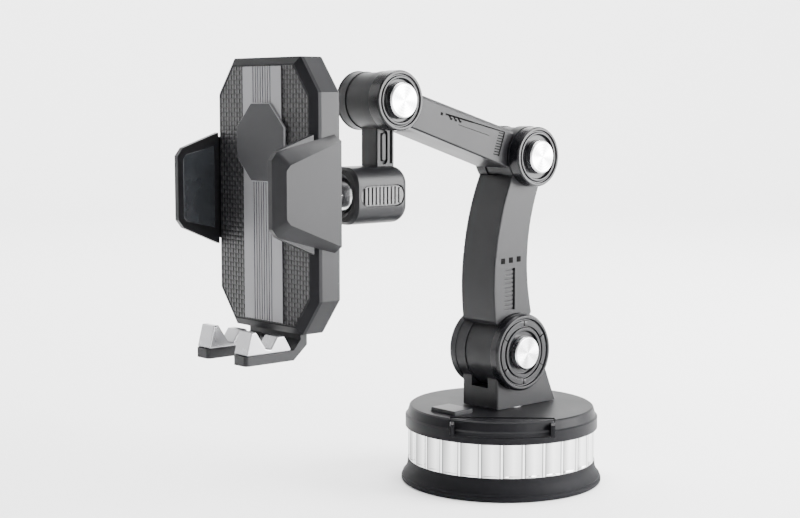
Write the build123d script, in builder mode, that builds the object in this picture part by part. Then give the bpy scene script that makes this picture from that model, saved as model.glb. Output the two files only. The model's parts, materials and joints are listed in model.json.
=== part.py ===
"""Phone mount: suction base, turntable, three-hinge arm, ball joint and a sprung clamp head.

Frame: +Z up, origin at the centre of the suction face, phone side towards -Y, hinge lines along X.
All sizes in millimetres.
"""

from build123d import *

import os
from math import cos, radians, sin, sqrt, tan

os.makedirs("parts", exist_ok=True)

# ---------------------------------------------------------------- driving dimensions
# suction base
cup_radius = 45.0  # outer radius of the rubber cup
cup_height = 9.9  # up to where the ring starts
gel_margin = 5.0  # rubber left outside the sticky pad
gel_thickness = 1.2
ring_inset = 3.1  # ring's ridges inside the cup's edge
ring_wall = 3.9
ring_height = 14.8
flute_count = 28
flute_depth = 0.45
pot_wall = 3.0
cap_inset = 1.8  # cap's lower tier inside the cup's edge
cap_slope = 1.8  # the upper tier draws in by this much
cap_height = 9.5
cap_tier_height = 4.9
cap_plate = 3.0
stem_radius = 4.5
stem_plate_radius = 15.0
stem_plate_thickness = 1.7
stem_travel = 1.2
lever_azimuth = -44.7  # middle of the locking lever, seen from above
lever_half_angle = 33.7  # half its width, seen from the base's centre at its hinge line
lever_reach = 9.9  # hinge line inside the cap's edge
lever_skirt = 6.3  # height of the lever's outer face
button_x = -1.6
button_inset = 5.4  # button's centre from the pot's inner wall
button_length = 15.2
button_width = 11.4
button_height = 1.8  # stands above the cap
button_travel = 1.2
post_radius = 8.0  # turntable post
post_nut_radius = 12.6

# arm
shoulder_rise = 25.2  # shoulder line above the cap
shoulder_y = -1.2
lower_length = 86.6  # shoulder to elbow
lower_lean = 5.0  # degrees back from the vertical
upper_length = 84.9  # elbow to wrist
upper_rise = 16.8  # degrees above the horizontal
fork_half = 10.9
lower_half = 10.4
upper_half = 9.8
knuckle_half = 4.8  # tongue inside each fork
bolt_radius = 3.0

# neck and ball
strut_half = 5.0
strut_depth = 9.4
neck_side_wall = 1.9  # outside the ball socket
neck_top_wall = 1.5
neck_length = 28.6
neck_drop = 38.3  # wrist line down to the ball line
ball_radius = 8.5
ball_stem_radius = 3.6
ball_ahead = 13.0  # ball centre in front of the wrist line

# head
head_half_width = 31.5
head_half_height = 52.8
head_corner_x = 10.4
head_corner_z = 13.5
head_depth = 13.1  # bezel face to back
bezel_edge = 2.8
bezel_depth = 2.2
head_reach = 44.3  # ball centre to the bezel face
head_lift = 2.0  # head centre above the ball
strip_half_width = 12.2
clamp_height = 1.0  # clamp centre above the head centre
clamp_reach = 19.7  # clamp tip in front of the bezel face
clamp_travel = 14.0
foot_spacing = 24.4  # between the two foot bars
foot_width = 8.5
foot_travel = 10.0

# clearances
slide_gap = 0.2  # between parts that slide on flat faces
side_gap = 0.3  # fork cheek to tongue
pin_gap = 0.05  # radial, in running fits
sweep_gap = 0.5  # round corners that turn past one another

# ---------------------------------------------------------------- worked-out places
ring_radius = cup_radius - ring_inset
gel_radius = cup_radius - gel_margin
cap_radius = cup_radius - cap_inset
cap_shoulder_radius = cap_radius - cap_slope
pot_radius = ring_radius - ring_wall - sweep_gap * 0.6
cup_top = cup_height
ring_top = cup_top + ring_height
cap_tier = ring_top + cap_tier_height
cap_top = ring_top + cap_height
lever_inset = cap_radius - lever_reach
lever_half = lever_inset * tan(radians(lever_half_angle))
lever_floor = cap_top - lever_skirt
shoulder_height = cap_top + shoulder_rise
shoulder = (shoulder_y, shoulder_height)
elbow = (
    shoulder_y + lower_length * sin(radians(lower_lean)),
    shoulder_height + lower_length * cos(radians(lower_lean)),
)
wrist = (
    elbow[0] - upper_length * cos(radians(upper_rise)),
    elbow[1] + upper_length * sin(radians(upper_rise)),
)
ball_y = wrist[0] - ball_ahead
ball_z = wrist[1] - neck_drop
face_y = ball_y - head_reach  # front of the bezel
head_z = ball_z + head_lift
head_back = face_y + head_depth
slot_half = knuckle_half + side_gap

# one row per hinge: centre, fork half width, dial radius, near and far ends of the dials
pivots = {
    "shoulder": dict(at=shoulder, ear=fork_half, dial=17.1, front=15.3, back=14.8, disc=7.4, stack=0.8, sink=0.0),
    "elbow": dict(at=elbow, ear=lower_half, dial=13.1, front=16.0, back=11.5, disc=7.3, stack=2.0, sink=2.4),
    "wrist": dict(at=wrist, ear=upper_half, dial=12.2, front=16.0, back=10.8, disc=7.3, stack=2.0, sink=2.4),
}
ear_inset = 0.3  # a fork ear is this much smaller in radius than its dial


# ---------------------------------------------------------------- small tools for profiles
def across(x):
    """A plane facing +X at x, drawn in Y and Z."""
    return Plane.YZ.offset(x)


def facing(y):
    """A plane facing -Y at y, drawn in X and Z."""
    return Plane.XZ.offset(-y)


def plate_x(points, x_low, x_high, mode=Mode.ADD):
    """A flat plate with a straight-sided outline in Y and Z."""
    with BuildSketch(across(x_low)) as outline:
        Polygon(*points, align=None)
    extrude(outline.sketch, amount=x_high - x_low, mode=mode)


def round_x(centre, radius, x_low, x_high, mode=Mode.ADD):
    """A round bar along X."""
    with BuildSketch(across(x_low)) as outline:
        with Locations(centre):
            Circle(radius)
    extrude(outline.sketch, amount=x_high - x_low, mode=mode)


def plate_y(points, y_low, y_high, mode=Mode.ADD):
    """A flat plate with a straight-sided outline in X and Z."""
    with BuildSketch(facing(y_high)) as outline:
        Polygon(*points, align=None)
    extrude(outline.sketch, amount=y_high - y_low, mode=mode)


def round_z(x, y, radius, z_low, z_high, mode=Mode.ADD):
    """A round bar along Z."""
    with BuildSketch(Plane.XY.offset(z_low)) as outline:
        with Locations((x, y)):
            Circle(radius)
    extrude(outline.sketch, amount=z_high - z_low, mode=mode)


def block(x, y, z, mode=Mode.ADD):
    """A box given by its low and high places on each axis."""
    with BuildSketch(Plane.XY.offset(z[0])) as outline:
        with Locations(((x[0] + x[1]) / 2, (y[0] + y[1]) / 2)):
            Rectangle(x[1] - x[0], y[1] - y[0])
    extrude(outline.sketch, amount=z[1] - z[0], mode=mode)


def turned_z(points, mode=Mode.ADD):
    """A solid of revolution about Z from radius and height pairs."""
    with BuildSketch(Plane.XZ) as outline:
        Polygon(*points, align=None)
    revolve(outline.sketch, axis=Axis.Z, mode=mode)


def turned_x(centre, points, mode=Mode.ADD):
    """A solid of revolution about a line along X, from radius and x pairs."""
    place = Plane(origin=(0, centre[0], centre[1]), x_dir=(0, 0, 1), z_dir=(0, 1, 0))
    with BuildSketch(place) as outline:
        Polygon(*points, align=None)
    line = Axis((0, centre[0], centre[1]), (1, 0, 0))
    revolve(outline.sketch, axis=line, mode=mode)


def plate_lever(points, half, mode=Mode.ADD):
    """A flat plate across the lever: points are distance out from the centre and height."""
    with BuildSketch(lever_side.offset(-half)) as outline:
        Polygon(*points, align=None)
    extrude(outline.sketch, amount=2 * half, mode=mode)


def bar_lever(centre, radius, half, mode=Mode.ADD):
    """A round bar along the lever's hinge line."""
    with BuildSketch(lever_side.offset(-half)) as outline:
        with Locations(centre):
            Circle(radius)
    extrude(outline.sketch, amount=2 * half, mode=mode)


def rectangle(u, z):
    """Corners of a rectangle given by its low and high sides."""
    return [(u[0], z[0]), (u[1], z[0]), (u[1], z[1]), (u[0], z[1])]


def finish_part(builder, name):
    """Label a finished piece and write it out."""
    builder.part.label = name
    export_step(builder.part, f"parts/{name}.step")


def polar(radius, angle):
    """A point at a radius and an angle in degrees."""
    return (radius * cos(radians(angle)), radius * sin(radians(angle)))


def along(centre, length, angle):
    """A point in Y and Z at a distance and an angle in degrees from another."""
    return (centre[0] + length * cos(radians(angle)), centre[1] + length * sin(radians(angle)))


# ---------------------------------------------------------------- suction base
cup_skin = gel_thickness + 3.4  # top of the cup's flat middle
cup_rim_inner = pot_radius + pin_gap
plate_floor = cup_skin - stem_plate_thickness
lip_inner = gel_radius + pin_gap

with BuildPart() as gel_pad:
    round_z(0, 0, gel_radius, 0, gel_thickness)
    chamfer(gel_pad.edges().group_by(Axis.Z)[0], 0.3)
finish_part(gel_pad, "gel_pad")

with BuildPart() as suction_cup:
    with BuildSketch(Plane.XZ):
        with BuildLine():
            Polyline(
                (0, plate_floor),
                (0, gel_thickness),
                (lip_inner, gel_thickness),
                (lip_inner, 0),
                (cup_radius - 0.8, 0),
                (cup_radius, 0.6),
                (cup_radius, 2.0),
                (cup_radius - 0.7, 2.5),
                (cup_radius - 0.5, 3.2),
            )
            ThreePointArc((cup_radius - 0.5, 3.2), (cup_radius - 2.1, 5.4), (cup_radius - 2.8, 8.2))
            Polyline(
                (cup_radius - 2.8, 8.2),
                (cup_radius - 2.9, cup_top),
                (cup_rim_inner, cup_top),
                (cup_rim_inner, cup_skin),
                (stem_plate_radius + pin_gap, cup_skin),
                (stem_plate_radius + pin_gap, plate_floor),
                (0, plate_floor),
            )
        make_face()
    revolve(axis=Axis.Z)
finish_part(suction_cup, "suction_cup")

pot_floor = cup_skin + 0.3
pot_floor_top = pot_floor + 2.5
cap_under = cap_top - cap_plate
pot_inner = pot_radius - pot_wall
button_y = -(pot_inner - button_inset)
spring_seat = pot_floor_top + 2.0
bar_floor = spring_seat + 6.6  # lift bar, on top of the stem's spring
bar_top = bar_floor + 3.0
bar_half = 4.0
screw_circle = pot_inner - 4.7
screw_angles = (30, 120, 210)
screw_radius = 1.45
screw_head_radius = 2.8
post_floor = pot_floor_top + 4.6
screw_top = post_floor + 4.0
lever_slot = lever_half + 0.3
lever_slot_floor = lever_floor - slide_gap
hinge_z = cap_top - 2.6
hinge_radius = 2.4
hinge_pin_radius = 1.0
lever_edge = lever_inset - hinge_radius - 0.3  # where the lever's slot starts
finger_half = 5.0
finger_tip = lever_inset - 8.0
finger_top = cap_under - 2.8
finger_floor = finger_top - 2.0
turn = radians(lever_azimuth)
lever_side = Plane(origin=(0, 0, 0), x_dir=(cos(turn), sin(turn), 0), z_dir=(sin(turn), -cos(turn), 0))
button_low = cap_under - 2.6

with BuildPart() as base_body:
    turned_z(
        [
            (0, pot_floor),
            (pot_radius, pot_floor),
            (pot_radius, cap_under),
            (pot_inner, cap_under),
            (pot_inner, pot_floor_top),
            (0, pot_floor_top),
        ]
    )
    round_z(0, 0, stem_radius + 3.5, pot_floor_top, spring_seat)
    for angle in screw_angles:
        x, y = polar(screw_circle, angle)
        round_z(x, y, 4.6, pot_floor_top, post_floor)
        round_z(x, y, screw_radius + 0.1, pot_floor, post_floor, Mode.SUBTRACT)
        round_z(x, y, screw_head_radius + 0.2, pot_floor, pot_floor + 2.4, Mode.SUBTRACT)
    round_z(0, 0, stem_radius + pin_gap, pot_floor, spring_seat, Mode.SUBTRACT)
    # room for the locking lever and a window for its finger
    wall = (lever_edge, cap_radius + 2)
    plate_lever(rectangle(wall, (lever_slot_floor - slide_gap, cap_top)), lever_slot + slide_gap, Mode.SUBTRACT)
    plate_lever(rectangle(wall, (finger_floor - 6.5, cap_top)), finger_half + 0.8, Mode.SUBTRACT)
    # room for the swivel button, and a post under it that carries its spring
    block(
        (button_x - button_length / 2 - 1.6, button_x + button_length / 2 + 1.6),
        (button_y - button_width / 2 - 1.0, button_y + button_width / 2),
        (button_low - 2.0, cap_top),
        Mode.SUBTRACT,
    )
    round_z(button_x, button_y, 3.6, pot_floor_top, button_low - 7.0)
finish_part(base_body, "base_body")

with BuildPart() as fluted_ring:
    round_z(0, 0, ring_radius, cup_top, ring_top - 0.1)
    round_z(0, 0, pot_radius + 0.3, cup_top, ring_top - 0.1, Mode.SUBTRACT)
    # shallow flats between narrow ridges
    flute_width = 2 * ring_radius * sin(radians(180 / flute_count)) - 1.3
    with BuildSketch(Plane.XY.offset(cup_top)):
        with PolarLocations(ring_radius + 2.0 - flute_depth, flute_count):
            Rectangle(4.0, flute_width)
    extrude(amount=ring_top - cup_top, mode=Mode.SUBTRACT)
finish_part(fluted_ring, "fluted_ring")

with BuildPart() as base_screws:
    for angle in screw_angles:
        x, y = polar(screw_circle, angle)
        round_z(x, y, screw_head_radius, pot_floor + 0.3, pot_floor + 2.4)
        round_z(x, y, screw_radius, pot_floor + 2.4, screw_top)
finish_part(base_screws, "base_screws")

cap_outline = [
    (0, cap_under),
    (pot_radius + 0.3, cap_under),
    (pot_radius + 0.3, ring_top),
    (cap_radius, ring_top),
    (cap_radius, cap_tier),
    (cap_radius - 0.8, cap_tier + 0.6),
    (cap_shoulder_radius, cap_top - 0.5),
    (cap_shoulder_radius - 0.7, cap_top),
    (0, cap_top),
]

with BuildPart() as base_cap:
    turned_z(cap_outline)
    for angle in screw_angles:
        x, y = polar(screw_circle, angle)
        round_z(x, y, 3.6, post_floor, cap_under)
        round_z(x, y, screw_radius + 0.05, post_floor, screw_top + 1.0, Mode.SUBTRACT)
    round_z(0, 0, post_radius + pin_gap, cap_under, cap_top, Mode.SUBTRACT)
    # slot for the locking lever, relief for its finger and blind holes for its pin
    plate_lever(rectangle(wall, (lever_slot_floor, cap_top + 1)), lever_slot, Mode.SUBTRACT)
    relief = (lever_edge, lever_inset + 5.2)
    plate_lever(rectangle(relief, (finger_floor - 1, cap_top)), finger_half + 0.6, Mode.SUBTRACT)
    bar_lever((lever_inset, hinge_z), hinge_pin_radius, lever_slot + 1.0, Mode.SUBTRACT)
    block(
        (button_x - button_length / 2 - slide_gap, button_x + button_length / 2 + slide_gap),
        (button_y - button_width / 2 - slide_gap, button_y + button_width / 2 + slide_gap),
        (cap_under, cap_top),
        Mode.SUBTRACT,
    )
finish_part(base_cap, "base_cap")

with BuildPart() as lock_lever:
    turned_z(
        [
            (lever_edge - 2, lever_floor),
            (cap_radius, lever_floor),
            (cap_radius, cap_tier),
            (cap_radius - 0.8, cap_tier + 0.6),
            (cap_shoulder_radius, cap_top - 0.5),
            (cap_shoulder_radius - 0.7, cap_top),
            (lever_edge - 2, cap_top),
        ]
    )
    plate_lever(rectangle((lever_inset, cap_radius + 1), (lever_floor, cap_top)), lever_half, Mode.INTERSECT)
    # hollow underneath
    turned_z(
        [
            (lever_inset + 3.4, lever_floor - 1),
            (cap_radius - 1.8, lever_floor - 1),
            (cap_radius - 1.8, cap_tier),
            (cap_shoulder_radius - 1.8, cap_top - 1.8),
            (lever_inset + 3.4, cap_top - 1.8),
        ],
        Mode.SUBTRACT,
    )
    for side in (-1, 1):
        with BuildSketch(lever_side.offset(side * lever_half)) as cheek:
            Polygon(
                *rectangle((lever_inset, cap_radius - 1.2), (lever_floor, cap_top - 1.0)),
                align=None,
            )
        extrude(cheek.sketch, amount=-side * 1.6)
    # hinge barrel, and the finger that holds the lift bar up
    bar_lever((lever_inset, hinge_z), hinge_radius, lever_half)
    plate_lever(
        [
            (finger_tip, finger_floor),
            (lever_inset - 0.5, finger_floor),
            (lever_inset - 0.5, hinge_z - 1.4),
            (lever_inset - 2.3, hinge_z - 1.4),
            (lever_inset - 2.3, finger_top),
            (finger_tip, finger_top),
        ],
        finger_half,
    )
    bar_lever((lever_inset, hinge_z), hinge_pin_radius + pin_gap, lever_half, Mode.SUBTRACT)
finish_part(lock_lever, "lock_lever")

with BuildPart() as lever_pin:
    bar_lever((lever_inset, hinge_z), hinge_pin_radius, lever_slot + 0.9)
finish_part(lever_pin, "lever_pin")

with BuildPart() as pull_stem:
    round_z(0, 0, stem_plate_radius, plate_floor, cup_skin)
    round_z(0, 0, stem_radius, cup_skin, bar_top + 3)
    chamfer(pull_stem.edges().group_by(Axis.Z)[-1], 0.8)
    round_z(0, 0, stem_radius, bar_floor, bar_top, Mode.SUBTRACT)
    round_z(0, 0, stem_radius - 1.5, bar_floor, bar_top)
finish_part(pull_stem, "pull_stem")

tab = (finger_tip, finger_tip + 3.6)
with BuildPart() as lift_bar:
    plate_lever(
        [
            (-stem_radius - 2.5, bar_floor),
            (tab[0] - slide_gap, bar_floor),
            (tab[0] - slide_gap, finger_top + slide_gap),
            (tab[1], finger_top + slide_gap),
            (tab[1], cap_under - slide_gap),
            (tab[0] - slide_gap - 2.4, cap_under - slide_gap),
            (tab[0] - slide_gap - 2.4, bar_top),
            (-stem_radius - 2.5, bar_top),
        ],
        bar_half,
    )
    round_z(0, 0, stem_radius - 1.5 + pin_gap, bar_floor, bar_top, Mode.SUBTRACT)
finish_part(lift_bar, "lift_bar")

spring_wire = 0.6


def coil(radius, z_low, z_high, turns, wire, x=0.0, y=0.0):
    """A round-wire helical spring standing on Z."""
    with BuildLine() as path:
        Helix(pitch=(z_high - z_low) / turns, height=z_high - z_low, radius=radius, center=(x, y, z_low))
    with BuildSketch(Plane(origin=path.line @ 0, z_dir=path.line % 0)) as section:
        Circle(wire)
    sweep(section.sketch, path=path.line)


with BuildPart() as stem_spring:
    coil(stem_radius + 1.6, spring_seat + 0.7, bar_floor - 0.7, 3.5, spring_wire)
finish_part(stem_spring, "stem_spring")

with BuildPart() as swivel_button:
    block(
        (button_x - button_length / 2, button_x + button_length / 2),
        (button_y - button_width / 2, button_y + button_width / 2),
        (cap_under - 1.4, cap_top + button_height),
    )
    fillet(swivel_button.edges().filter_by(Axis.Z), 0.8)
    chamfer(swivel_button.edges().group_by(Axis.Z)[-1], 0.35)
    block(
        (button_x - button_length / 2 - 1, button_x + button_length / 2 + 1),
        (button_y - button_width / 2 + 1, button_y + button_width / 2 - 1),
        (button_low, cap_under - 1.4),
    )
    round_z(button_x, button_y, 1.9, button_low - 2.0, button_low)
finish_part(swivel_button, "swivel_button")

with BuildPart() as button_spring:
    coil(2.6, button_low - 6.5, button_low - 0.5, 4, 0.35, button_x, button_y)
finish_part(button_spring, "button_spring")

# ---------------------------------------------------------------- turntable and fork
fork_floor = cap_top + 0.3
fork_front = shoulder_y - 12.5
fork_back = shoulder_y + 24.9
fork_ear = pivots["shoulder"]["dial"] - ear_inset
back_top = (shoulder_y + 16.4, shoulder_height - 5.2)
knuckle_radius = fork_ear - 0.4
slot_floor = shoulder_height - knuckle_radius + 0.5
nut_floor_z = cap_under - 4.8

with BuildPart() as turntable_fork:
    plate_x(
        [
            (fork_front, fork_floor),
            (fork_back, fork_floor),
            back_top,
            (shoulder_y + 5, shoulder_height + 4),
            (fork_front, shoulder_height),
        ],
        -fork_half,
        fork_half,
    )
    corner_edges = turntable_fork.edges().filter_by(Axis.Z).group_by(Axis.Y)[0]
    fillet(corner_edges, 1.0)
    round_x(shoulder, fork_ear, -fork_half, fork_half)
    block((-slot_half, slot_half), (fork_front - 9, fork_back + 9), (slot_floor, shoulder_height + 30), Mode.SUBTRACT)
    round_x(shoulder, knuckle_radius + sweep_gap, -slot_half, slot_half, Mode.SUBTRACT)
    round_x(shoulder, bolt_radius + pin_gap, -fork_half, fork_half, Mode.SUBTRACT)
    round_z(0, 0, post_radius, nut_floor_z - 0.8, fork_floor)
    chamfer(turntable_fork.edges().group_by(Axis.Z)[0], 0.6)
finish_part(turntable_fork, "turntable_fork")

with BuildPart() as turntable_washer:
    round_z(0, 0, fork_half - 0.4, cap_top + 0.05, fork_floor)
    round_z(0, 0, post_radius + 0.1, cap_top, fork_floor, Mode.SUBTRACT)
finish_part(turntable_washer, "turntable_washer")

with BuildPart() as turntable_nut:
    with BuildSketch(Plane.XY.offset(nut_floor_z)):
        RegularPolygon(post_nut_radius, 6)
        Circle(post_radius + pin_gap, mode=Mode.SUBTRACT)
    extrude(amount=cap_under - 0.1 - nut_floor_z)
finish_part(turntable_nut, "turntable_nut")


# ---------------------------------------------------------------- hinge hardware, one set per hinge
def dial_profile(radius, disc, base, front, inner):
    """Radius and x pairs of a dial: rim, groove, ring and the deep recess round the bright disc."""
    return [
        (inner, base),
        (radius, base),
        (radius, front - 0.5),
        (radius - 0.5, front),
        (radius - 1.5, front),
        (radius - 1.7, front - 0.7),
        (radius - 2.2, front - 0.7),
        (radius - 2.4, front - 0.15),
        (radius - 3.2, front - 0.15),
        (radius - 3.6, front - 1.6),
        (disc + 0.1, front - 1.6),
        (disc + 0.1, front - 0.8),
        (inner, front - 0.8),
    ]


bolt_head_radius = 5.0
cavity_radius = 6.2
nut_height = 2.4
for name, p in pivots.items():
    head_floor = p["ear"] + p["stack"]
    head_top = p["front"] - 1.0
    disc_floor = p["front"] - 0.8

    with BuildPart() as dial:
        if name == "shoulder":
            turned_x(
                p["at"],
                [
                    (cavity_radius, p["ear"]),
                    (p["dial"], p["ear"]),
                    (p["dial"], p["front"] - 0.9),
                    (p["dial"] - 0.9, p["front"]),
                    (p["dial"] - 1.9, p["front"]),
                    (p["dial"] - 2.3, p["front"] - 0.8),
                    (p["dial"] - 2.7, p["front"] - 0.8),
                    (p["dial"] - 2.9, p["front"] - 0.2),
                    (p["dial"] - 5.2, p["front"] - 0.2),
                    (p["dial"] - 5.4, p["front"] - 0.9),
                    (p["dial"] - 5.9, p["front"] - 0.9),
                    (p["dial"] - 6.1, p["front"] - 0.1),
                    (p["dial"] - 7.3, p["front"] - 0.1),
                    (p["dial"] - 7.8, p["front"] - 1.5),
                    (p["disc"] + 0.1, p["front"] - 1.5),
                    (p["disc"] + 0.1, disc_floor),
                    (cavity_radius, disc_floor),
                ],
            )
            # six notches that part the middle ring
            for step in range(6):
                centre = along(p["at"], p["dial"] - 4.05, 60 * step)
                with BuildSketch(across(p["front"] - 0.9)) as notch:
                    with Locations(Location((centre[0], centre[1], 0), 60 * step)):
                        Rectangle(2.9, 0.6)
                extrude(notch.sketch, amount=2, mode=Mode.SUBTRACT)
        else:
            turned_x(p["at"], dial_profile(p["dial"], p["disc"], p["ear"], p["front"], cavity_radius))
    finish_part(dial, f"{name}_dial")

    with BuildPart() as disc:
        turned_x(
            p["at"],
            [
                (0, head_top + 0.05),
                (cavity_radius - 0.1, head_top + 0.05),
                (cavity_radius - 0.1, disc_floor),
                (p["disc"], disc_floor),
                (p["disc"], p["front"] + 1.7),
                (p["disc"] - 0.5, p["front"] + 2.2),
                (0, p["front"] + 2.2),
            ],
        )
    finish_part(disc, f"{name}_disc")

    with BuildPart() as bolt:
        with BuildSketch(across(head_floor)):
            with Locations(p["at"]):
                RegularPolygon(bolt_head_radius, 6)
        extrude(amount=head_top - head_floor)
        round_x(p["at"], bolt_radius, -p["ear"] + p["sink"] - 2.0 if p["sink"] else -p["ear"] - 2.0, head_floor)
    finish_part(bolt, f"{name}_bolt")

    with BuildPart() as stack:
        leaves = 4 if p["stack"] > 1 else 2
        leaf = p["stack"] / leaves
        for number in range(leaves):
            low = p["ear"] + number * leaf
            round_x(p["at"], 5.6, low + 0.02, low + leaf - 0.02)
        round_x(p["at"], bolt_radius + 0.1, p["ear"], head_floor, Mode.SUBTRACT)
    finish_part(stack, f"{name}_spring_washers")

    with BuildPart() as nut:
        low = -p["ear"] + p["sink"] - nut_height
        with BuildSketch(across(low)):
            with Locations(p["at"]):
                RegularPolygon(bolt_head_radius, 6)
                Circle(bolt_radius + pin_gap, mode=Mode.SUBTRACT)
        extrude(amount=nut_height)
    finish_part(nut, f"{name}_nut")

    with BuildPart() as far_dial:
        round_x(p["at"], p["dial"], -p["back"], -p["ear"])
        chamfer(far_dial.edges().group_by(Axis.X)[0], 0.5)
        turned_x(
            p["at"],
            [
                (p["dial"] - 3.4, -p["back"] - 1),
                (p["dial"] - 2.6, -p["back"] - 1),
                (p["dial"] - 2.6, -p["back"] + 0.4),
                (p["dial"] - 3.4, -p["back"] + 0.4),
            ],
            Mode.SUBTRACT,
        )
        if not p["sink"]:
            round_x(p["at"], cavity_radius, -p["back"] + 1.0, -p["ear"], Mode.SUBTRACT)
    finish_part(far_dial, f"{name}_far_cap")

# ---------------------------------------------------------------- lower arm
elbow_ear = pivots["elbow"]["dial"] - ear_inset + 0.6
elbow_knuckle = elbow_ear - 0.6
foot_front = (shoulder_y - 13.2, shoulder_height + 14.4)
foot_rear = (shoulder_y + 9.6, shoulder_height + 17.6)
front_top = (elbow[0] - 11.0, elbow[1] - 8.6)
rear_top = (elbow[0] + 6.4, elbow[1] - 12.9)
arm_bow = 4.7  # how far the arm's long sides bow forwards
front_mid = ((foot_front[0] + front_top[0]) / 2 - arm_bow, (foot_front[1] + front_top[1]) / 2)
rear_mid = ((foot_rear[0] + rear_top[0]) / 2 - arm_bow, (foot_rear[1] + rear_top[1]) / 2)


def lower_outline(x, inset=0.0):
    """The lower arm seen from the side, between its two hinges."""
    with BuildSketch(across(x)) as side:
        with BuildLine():
            ThreePointArc(foot_front, front_mid, front_top)
            Line(front_top, elbow)
            Line(elbow, rear_top)
            ThreePointArc(rear_top, rear_mid, foot_rear)
            Line(foot_rear, shoulder)
            Line(shoulder, foot_front)
        make_face()
        if inset:
            offset(amount=-inset, kind=Kind.INTERSECTION)
    return side.sketch


cover_depth = 1.4
pocket_low = shoulder_height + 24
pocket_high = elbow[1] - 24
with BuildPart() as lower_arm:
    extrude(lower_outline(-lower_half), amount=2 * lower_half)
    long_edges = (
        lower_arm.edges()
        .filter_by(lambda e: abs(e.center().X) > lower_half - 0.1)
        .filter_by(GeomType.CIRCLE)
    )
    fillet(long_edges, 0.7)
    # tongue at the shoulder, cut clear of the fork ears
    round_x(shoulder, fork_ear + sweep_gap, -lower_half, lower_half, Mode.SUBTRACT)
    plate_x(
        [
            (foot_front[0] + 1.5, foot_front[1]),
            (foot_rear[0] - 1.0, foot_rear[1]),
            along(shoulder, 8, 20),
            along(shoulder, 8, 160),
        ],
        -knuckle_half,
        knuckle_half,
    )
    round_x(shoulder, knuckle_radius, -knuckle_half, knuckle_half)
    round_x(shoulder, bolt_radius + pin_gap, -knuckle_half, knuckle_half, Mode.SUBTRACT)
    # fork at the elbow
    round_x(elbow, elbow_ear, -lower_half, lower_half)
    round_x(elbow, elbow_knuckle + sweep_gap, -slot_half, slot_half, Mode.SUBTRACT)
    plate_x(
        [
            elbow,
            along(elbow, 30, 218),
            along(elbow, 40, 170),
            along(elbow, 40, 120),
            along(elbow, 40, 70),
            along(elbow, 30, 26),
        ],
        -slot_half,
        slot_half,
        Mode.SUBTRACT,
    )
    round_x(elbow, bolt_radius + pin_gap, -lower_half, lower_half, Mode.SUBTRACT)
    round_x(elbow, cavity_radius, -lower_half, -lower_half + 2.4, Mode.SUBTRACT)
    # hollow, closed by a cover on the far side
    cover_x = (-lower_half, -lower_half + cover_depth)
    plate_x(
        [
            (shoulder_y - 10.5, pocket_low),
            (shoulder_y + 4.2, pocket_low),
            (shoulder_y + 5.8, pocket_high),
            (shoulder_y - 6.5, pocket_high),
        ],
        cover_x[0] - 0.1,
        cover_x[1],
        Mode.SUBTRACT,
    )
    plate_x(
        [
            (shoulder_y - 9.0, pocket_low + 1.5),
            (shoulder_y + 2.7, pocket_low + 1.5),
            (shoulder_y + 4.2, pocket_high - 1.5),
            (shoulder_y - 5.2, pocket_high - 1.5),
        ],
        cover_x[1],
        lower_half - 3.0,
        Mode.SUBTRACT,
    )
    # ribbed slot and three small recesses on the near side
    rib_y = shoulder_y - 4.6
    for number in range(10):
        rib_z = shoulder_height + 19.2 + 1.9 * number
        block((lower_half - 0.8, lower_half + 1), (rib_y - 3.0, rib_y + 2.2), (rib_z, rib_z + 1.0), Mode.SUBTRACT)
    block(
        (lower_half - 1.2, lower_half + 1),
        (rib_y + 2.2, rib_y + 3.4),
        (shoulder_height + 18.9, shoulder_height + 37.5),
        Mode.SUBTRACT,
    )
    with BuildSketch(across(lower_half - 1.0)):
        with Locations(*[(rib_y - 4.2 + 4.9 * n, shoulder_height + 40.8 + 0.2 * n) for n in range(3)]):
            Rectangle(2.0, 1.8)
    extrude(amount=2, mode=Mode.SUBTRACT)
finish_part(lower_arm, "lower_arm")

with BuildPart() as lower_arm_cover:
    plate_x(
        [
            (shoulder_y - 10.5 + slide_gap, pocket_low + slide_gap),
            (shoulder_y + 4.2 - slide_gap, pocket_low + slide_gap),
            (shoulder_y + 5.8 - slide_gap, pocket_high - slide_gap),
            (shoulder_y - 6.5 + slide_gap, pocket_high - slide_gap),
        ],
        cover_x[0],
        cover_x[1],
    )
finish_part(lower_arm_cover, "lower_arm_cover")

# ---------------------------------------------------------------- upper arm
wrist_ear = pivots["wrist"]["dial"] - ear_inset
wrist_knuckle = wrist_ear - 0.4
upper_angle = 180 - upper_rise  # direction from elbow to wrist
side_up = upper_angle - 90
elbow_cut = elbow_ear + sweep_gap
half_at_elbow = 8.4
half_at_wrist = 7.2


def on_upper(distance, height):
    """A point of the upper arm: distance from the elbow along it, height above its middle line."""
    middle = along(elbow, distance, upper_angle)
    return along(middle, height, side_up)


def upper_cover_outline(inset):
    """The cover on the upper arm's far side, drawn in by inset all round."""
    near = elbow_cut + 6.0 + inset
    far = upper_length - 18.9 - inset
    return [
        on_upper(near, 5.4 - inset),
        on_upper(far, 4.8 - inset),
        on_upper(far, -4.8 + inset),
        on_upper(near, -5.4 + inset),
    ]


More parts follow.
